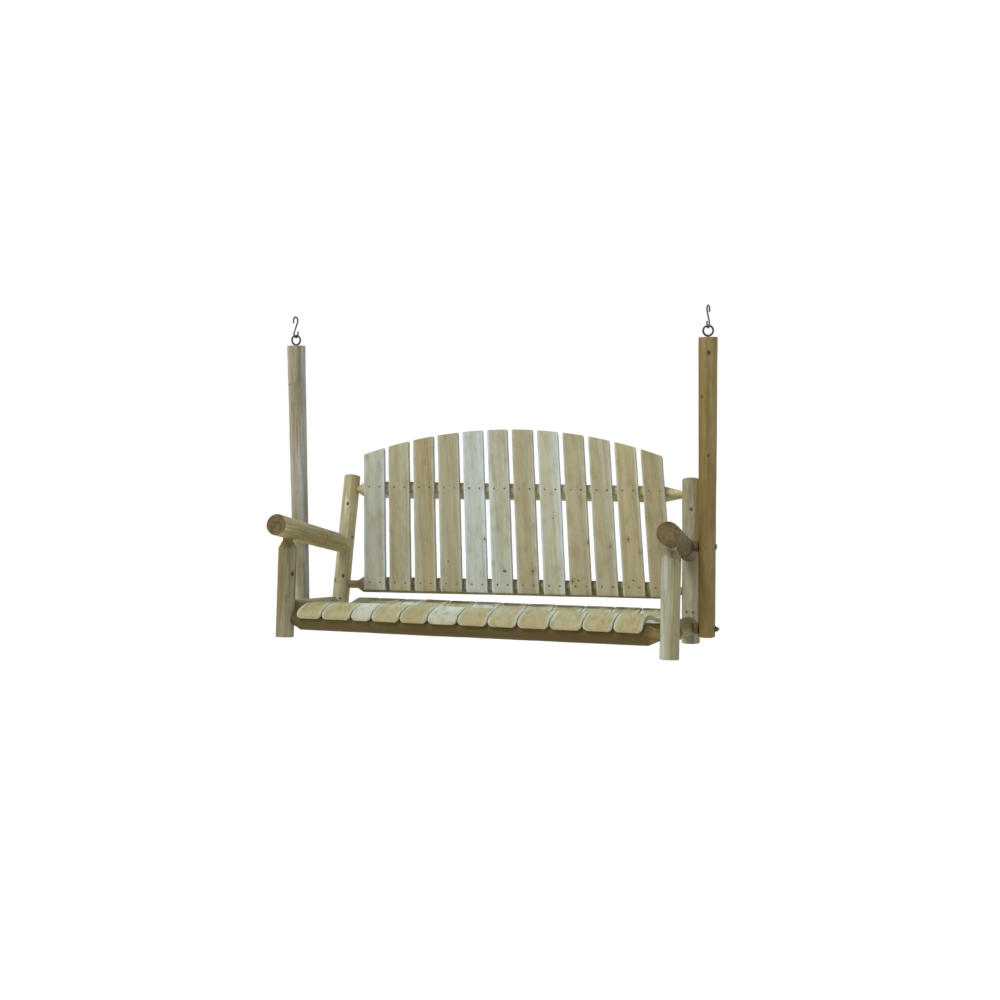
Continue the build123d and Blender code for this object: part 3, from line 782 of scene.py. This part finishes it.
def slat_faces(loop, count):
    """The top and underside of a seat slat from its lip back, as matching points."""
    ahead = np.roll(loop, -1, axis=0) - loop
    behind = loop - np.roll(loop, 1, axis=0)
    turn = np.degrees(np.arctan2(
        behind[:, 0] * ahead[:, 1] - behind[:, 1] * ahead[:, 0], (behind * ahead).sum(axis=1)
    ))
    corners = sorted(np.argsort(-np.abs(turn))[:4])
    rear = sorted(corners, key=lambda i: -loop[i][0])[:2]
    rear_top = max(rear, key=lambda i: loop[i][1])
    lips = [i for i in corners if i not in rear]
    outer_lip = min(lips, key=lambda i: loop[i][0])
    inner_lip = [i for i in lips if i != outer_lip][0]
    rear_low = [i for i in rear if i != rear_top][0]

    def walk(first, last, avoid):
        for sense in (1, -1):
            path, i = [], first
            while True:
                path.append(loop[i])
                if i == last or i == avoid:
                    break
                i = (i + sense) % len(loop)
            if i == last:
                return np.array(path)

    top, length = resample(walk(outer_lip, rear_top, inner_lip), count)
    under, _ = resample(walk(inner_lip, rear_low, outer_lip), count)
    return top, under, length


SEAT_ROWS = 100
SEAT_COLUMNS = 16
SEAT_CORNER = 4.5 * MM
SEAT_TRIM = 1.0 * MM
SEAT_WAVE = 0.8 * MM
SEAT_PITH = 90 * MM
SEAT_TINT = (0.96, 0.97, 0.87)
TONGUE = 19 * MM
TONGUE_FLAT = 1.0 * MM
# How far in from a seat slat's edges the painted highlight reaches.
EDGE_HIGHLIGHT_REACH = 13 * MM
SAWN_SIDE = 0.5 * MM
# Painted shade on the seat slats' rolled-down front lip: how dark at the lip, and how far back it fades.
LIP_PAINTED_SHADE = 0.58
LIP_SHADE_REACH = 0.11

# How frosted and how dark each seat slat is, from left to right.
SEAT_FROST = (0.05, 0.1, 0.85, 0.15, 0.0, 0.8, 0.1, 0.2, 0.05, 0.2, 0.1, 0.05)
SEAT_TONES = (0.1, 0.08, 0.0, 0.05, 0.14, 0.0, 0.1, 0.05, 0.12, 0.05, 0.08, 0.1)


def make_seat_slat(node, material, rng):
    """A board sawn to the seat's curve, with eased edges and a rounded front lip."""
    low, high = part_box(node)
    top, under, length = slat_faces(side_profile(node), SEAT_ROWS)
    width = high.x - low.x
    middle = (high.x + low.x) / 2
    seed = rng.uniform(0, 90)
    pith = (rng.uniform(-18, 18) * MM, rng.uniform(28, 40) * MM)
    shift = rng.uniform(0, 30)
    lift = rng.uniform(-0.8, 0.6) * MM
    frost = SEAT_FROST[SEAT_SLATS.index(node)]
    tone_and_shade = SEAT_TONES[SEAT_SLATS.index(node)]
    sections, grain, frost_and_highlights, tones_and_shades = [], [], [], []
    for i in range(SEAT_ROWS):
        run = length * i / (SEAT_ROWS - 1)
        upper, lower = Vector((0, *top[i])), Vector((0, *under[i]))
        centre, thick = (upper + lower) / 2, (upper - lower).length
        outward = (upper - lower).normalized()
        inset = TONGUE - math.sqrt(max(0.0, TONGUE ** 2 - max(0.0, TONGUE - run - TONGUE_FLAT) ** 2))
        trim = 2 * SEAT_TRIM if i in (0, SEAT_ROWS - 1) else 0.0
        ring = []
        for a, b in rounded_rectangle(width - 2 * inset, thick - trim, SEAT_CORNER, SEAT_COLUMNS):
            edge = SEAT_WAVE * smooth_noise(seed + 5, run * 11, 0.3 if a > 0 else 9.3)
            edge *= abs(2 * a / width)
            crown = SEAT_WAVE * smooth_noise(seed, run * 9, a * 22)
            ring.append(centre + outward * (b + crown + lift) + Vector((middle + a + edge, 0, 0)))
            height = (centre + outward * b).z - low.z
            grain.append((a - pith[0], height + b * 0.3 + pith[1] - SEAT_PITH, run + shift))
            # The board's own frost, and a painted highlight along its eased edges; the sawn sides get a
            # fifth of it, as painted shade.
            from_edge = width / 2 - inset - abs(a)
            frost_and_edge_highlight = max(frost, min(0.9, 1.2 - from_edge / EDGE_HIGHLIGHT_REACH))
            frost_and_highlights.append(frost_and_edge_highlight if from_edge > SAWN_SIDE else 0.2 * frost_and_edge_highlight)
        sections.append(ring)
        # Painted shade that fades back from the front lip.
        tones_and_shades += [tone_and_shade + LIP_PAINTED_SHADE * max(0.0, 1 - run / LIP_SHADE_REACH)] * len(ring)
    shades = {"tone_and_shade": tones_and_shades, "frost_and_highlight": frost_and_highlights}
    piece = skin(node + "_board", sections, grain, SEAT_TINT, shades, material)
    stand_for(piece, node)


# ---- The swing ----

def coat(piece, material):
    """Gives a CAD node that is kept as it is a material of its own."""
    piece.data.materials.clear()
    piece.data.materials.append(material)


log_wood = cedar(
    "cedar_log",
    heart=paint(150, 139, 102),
    sap=paint(170, 167, 143),
    dark=paint(82, 70, 40),
    sap_start=34 * MM,
    ring_gap=4.2 * MM,
    contrast=0.5,
)
slat_wood = cedar(
    "cedar_back_board",
    heart=paint(170, 163, 124),
    sap=paint(180, 180, 154),
    dark=paint(118, 104, 64),
    sap_start=52 * MM,
    ring_gap=4.0 * MM,
    contrast=0.42,
    spots=1.0,
)
seat_wood = cedar(
    "cedar_seat_board",
    heart=paint(184, 180, 144),
    sap=paint(192, 196, 172),
    dark=paint(136, 122, 82),
    sap_start=60 * MM,
    ring_gap=4.5 * MM,
    contrast=0.6,
    spots=0.5,
)
# The spacers between the arms and hanging posts are wood painted very dark, as painted contact shade.
shaded_pad_wood = cedar(
    "cedar_pad_painted_shade",
    heart=paint(88, 70, 42),
    sap=paint(96, 80, 52),
    dark=paint(50, 38, 22),
    sap_start=34 * MM,
    ring_gap=4.0 * MM,
    contrast=0.5,
    carved=False,
)
zinc = steel("zinc_plate", (0.12, 0.12, 0.115), (0.05, 0.046, 0.04), 0.32, 0.55)
dull_steel = steel("dull_nail", (0.16, 0.14, 0.12), (0.08, 0.065, 0.05), 0.5, 0.8)

add_camera()
add_sky()
add_floor(floor_paint())
add_key_light()

random_numbers = random.Random(47)
for node in LOGS:
    make_log(node, log_wood, random_numbers)
for node in BACK_SLATS:
    make_back_slat(node, slat_wood, random_numbers)
for node in SEAT_SLATS:
    make_seat_slat(node, seat_wood, random_numbers)

for name, piece in nodes.items():
    if name.endswith(("nails", "screws")):
        coat(piece, dull_steel)
    elif name.startswith("hanger_spacers"):
        # The spacers get the dark wood that stands in for contact shade.
        coat(piece, shaded_pad_wood)
    elif name.startswith(("s_hook", "eye_bolt", "hanger_")):
        coat(piece, zinc)

bpy.context.scene.view_settings.view_transform = "Standard"
